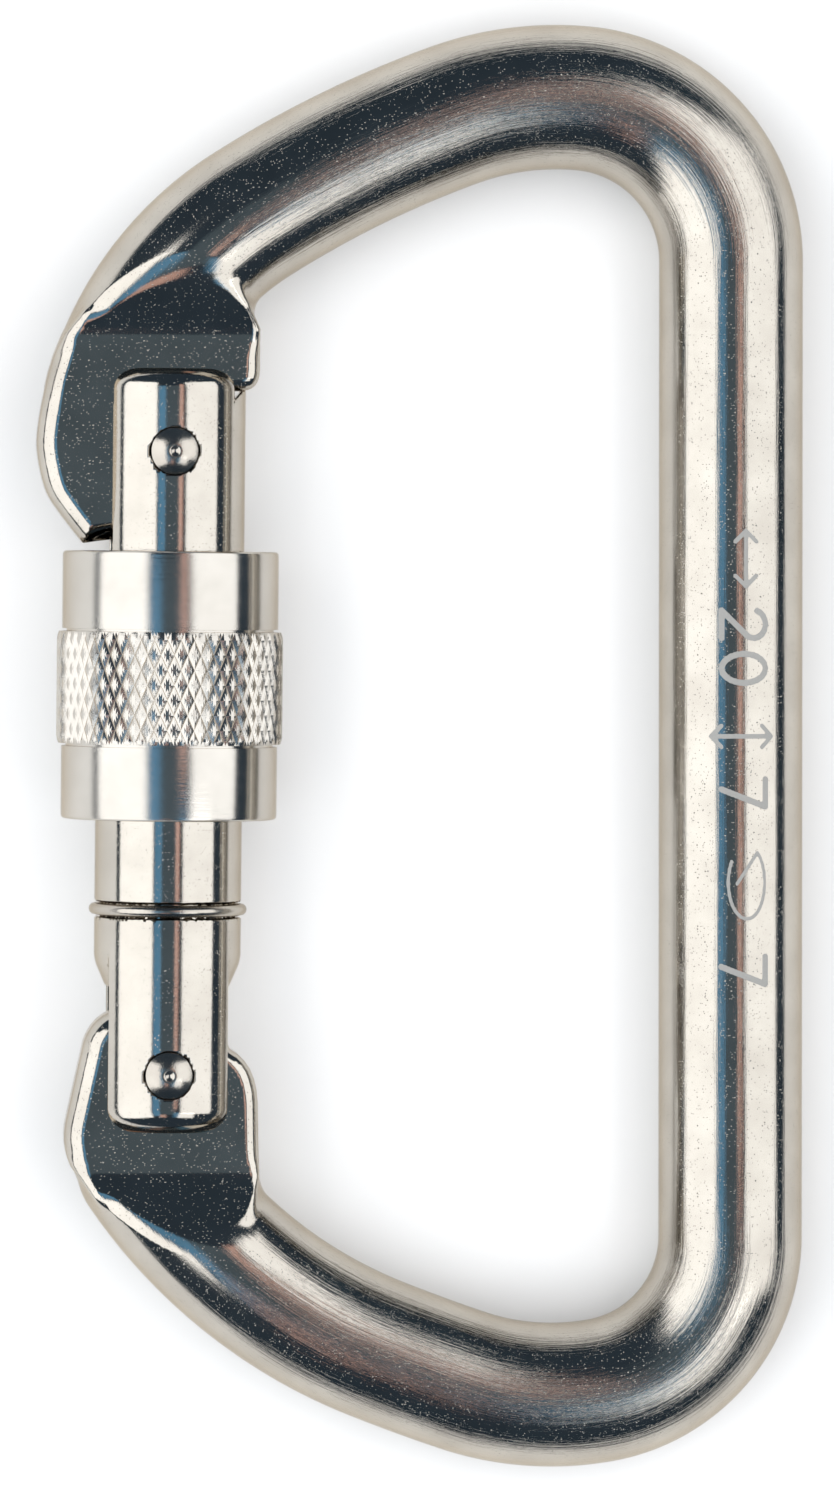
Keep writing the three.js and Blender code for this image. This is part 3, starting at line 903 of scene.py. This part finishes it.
def spring_material():
    return bare_metal(
        "spring_wire", (0.35, 0.34, 0.33), (0.45, 0.44, 0.42), (0.25, 0.4),
        (2.0, 2.0, 2.0), 0.2,
    )


def etched_material():
    """Frosted, laser-etched aluminium."""
    n = Nodes("etched_aluminium")
    fine = n.noise(n.position(), 6000.0, 3.0, 0.6)
    n.link(n.mixed(fine, (0.31, 0.305, 0.29), (0.43, 0.425, 0.405)), n.shader.inputs["Base Color"])
    n.link(n.bump(fine, 0.5, 0.00003), n.shader.inputs["Normal"])
    n.link(n.ranged(fine, 0.3, 0.7, 0.55, 0.7), n.shader.inputs["Roughness"])
    n.shader.inputs["Metallic"].default_value = 0.4
    return n.material


def floor_material():
    n = Nodes("pale_floor")
    paper = n.noise(n.position(), 40.0, 4.0, 0.6)
    n.link(n.mixed(paper, (0.9, 0.895, 0.885), (0.93, 0.925, 0.915)), n.shader.inputs["Base Color"])
    n.shader.inputs["Roughness"].default_value = 0.75
    return n.material


# ---------------------------------------------------------------- stage

# The carabiner lies on its knurl and its spine, so it leans: the surface under it slopes up
# towards the spine, and levels out to both sides.
LEAN = math.asin((KNURL_RADIUS - BAR_RADIUS) / (SPINE_X - HINGE_X))
STAGE_UP = Vector((-math.sin(LEAN), 0, math.cos(LEAN)))


def build_floor():
    slope = math.tan(LEAN)
    touch_x = hinge_point.x + 0.0005
    level = hinge_point.z - KNURL_RADIUS * 0.001 / math.cos(LEAN) - touch_x * slope
    left, right, ease, far = -0.03, 0.034, 0.012, 1.6
    offsets = np.concatenate([[-far], np.linspace(left - ease, left, 7)])
    offsets = np.concatenate([offsets, np.linspace(right, right + ease, 7), [far]])

    def height(x):
        x = min(max(x, left - ease), right + ease)
        over = max(x - right, left - x, 0)
        inner = min(max(x, left), right)
        sign = 1 if x > right else -1
        return level + slope * (inner + sign * (over - over * over / (2 * ease)))

    points, faces = [], []
    for i, x in enumerate(offsets):
        points += [(x, -far, height(x)), (x, far, height(x))]
        if i:
            faces.append((2 * i - 2, 2 * i, 2 * i + 1, 2 * i - 1))
    floor = mesh_object("floor", points, faces, Matrix.Identity(4))
    floor.data.materials.append(floor_material())


def panel(name, across, up, width, height, radiance, colour=(1, 1, 1)):
    """An area light round the object. Its direction and its size are in degrees, seen from the
    object: across towards the spine, up towards the nose, both from the camera's direction."""
    distance = 0.8
    bearing, rise = math.radians(across) - LEAN, math.radians(up)
    level = math.cos(rise)
    out = Vector((math.sin(bearing) * level, math.sin(rise), math.cos(bearing) * level))
    data = bpy.data.lights.new(name, "AREA")
    data.shape = "RECTANGLE"
    data.size = 2 * distance * math.tan(math.radians(width) / 2)
    data.size_y = 2 * distance * math.tan(math.radians(height) / 2)
    data.energy = radiance * math.pi * data.size * data.size_y
    data.color = colour
    light = bpy.data.objects.new(name, data)
    light.location = Vector((0, 0, hinge_point.z)) + out * distance
    side = Vector((math.cos(bearing), 0, -math.sin(bearing)))
    light.rotation_euler = Matrix((side, out.cross(side), out)).transposed().to_euler()
    light.visible_camera = False
    bpy.context.scene.collection.objects.link(light)
    return light


def build_lights():
    """A softbox on each side, with the dim coloured room between them."""
    panel("softbox_left", -51, -3, 57, 72, 2.02)
    panel("softbox_right_high", 50, 8, 54, 56, 1.78)
    panel("softbox_right_low", 34, -27, 24, 22, 1.78)
    panel("room_blue_left", -15, -8, 11, 44, 0.6, (0.2, 0.58, 1.0))
    panel("room_blue_right", 17, -24, 9, 22, 0.5, (0.2, 0.58, 1.0))
    panel("room_pink_right", 15, 8, 6, 30, 1.0, (1.0, 0.6, 0.48))
    panel("room_pink_left", -5, -30, 9, 12, 0.9, (1.0, 0.6, 0.48))
    panel("room_grey", 2, -4, 26, 40, 0.11, (0.7, 0.9, 1.0))
    floor_fill = panel("floor_fill", 0, 0, 60, 60, 1.85)
    floor_fill.visible_glossy = False
    world = bpy.data.worlds.new("studio")
    world.use_nodes = True
    world.node_tree.nodes["Background"].inputs["Color"].default_value = (0.45, 0.7, 1.0, 1)
    world.node_tree.nodes["Background"].inputs["Strength"].default_value = 0.085
    bpy.context.scene.world = world


def build_camera():
    distance = 0.65
    view_height = 0.1197
    data = bpy.data.cameras.new("camera")
    data.sensor_width = 36
    data.lens = data.sensor_width * distance / view_height
    camera = bpy.data.objects.new("camera", data)
    target = Vector((-0.00028, -0.00022, hinge_point.z))
    forward_tilt = Vector((0, 0.0245, 0))
    out = (STAGE_UP + forward_tilt).normalized()
    camera.location = target + out * distance
    side = Vector((0, 1, 0)).cross(out).normalized()
    camera.rotation_euler = Matrix((side, out.cross(side), out)).transposed().to_euler()
    data.clip_start, data.clip_end = 0.01, 20
    bpy.context.scene.collection.objects.link(camera)
    bpy.context.scene.camera = camera
    bpy.context.scene.view_settings.view_transform = "Standard"


# ---------------------------------------------------------------- assembly


def finish_piece(obj, body, slot, material, *nodes):
    obj.data.materials.append(material)
    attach(obj, body)
    if nodes:
        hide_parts(*nodes)


build_camera()
build_lights()
build_floor()

finish_piece(build_frame(), "frame", "frame_aluminium", frame_material(), "frame")
finish_piece(build_marks(), "frame", "frame_aluminium", etched_material())
finish_piece(build_gate(), "gate", "gate_aluminium", gate_material(), "gate")
finish_piece(build_sleeve(), "sleeve", "sleeve_aluminium", sleeve_material(), "locking_sleeve")
steel = steel_material()
finish_piece(build_ring(), "ring", "stainless_steel", steel, "stop_ring")
hinge_rivet = build_rivet("hinge_rivet_headed", 0)
finish_piece(hinge_rivet, "gate", "stainless_steel", steel, "hinge_rivet")
latch_rivet = build_rivet("latch_rivet_headed", LATCH_PIN_Y)
finish_piece(latch_rivet, "gate", "stainless_steel", steel, "latch_rivet")
finish_piece(build_plunger(), "plunger", "stainless_steel", steel, "spring_plunger")
coil = build_spring()
finish_piece(coil, "gate", "spring_steel", spring_material(), "gate_spring")
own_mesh(coil)
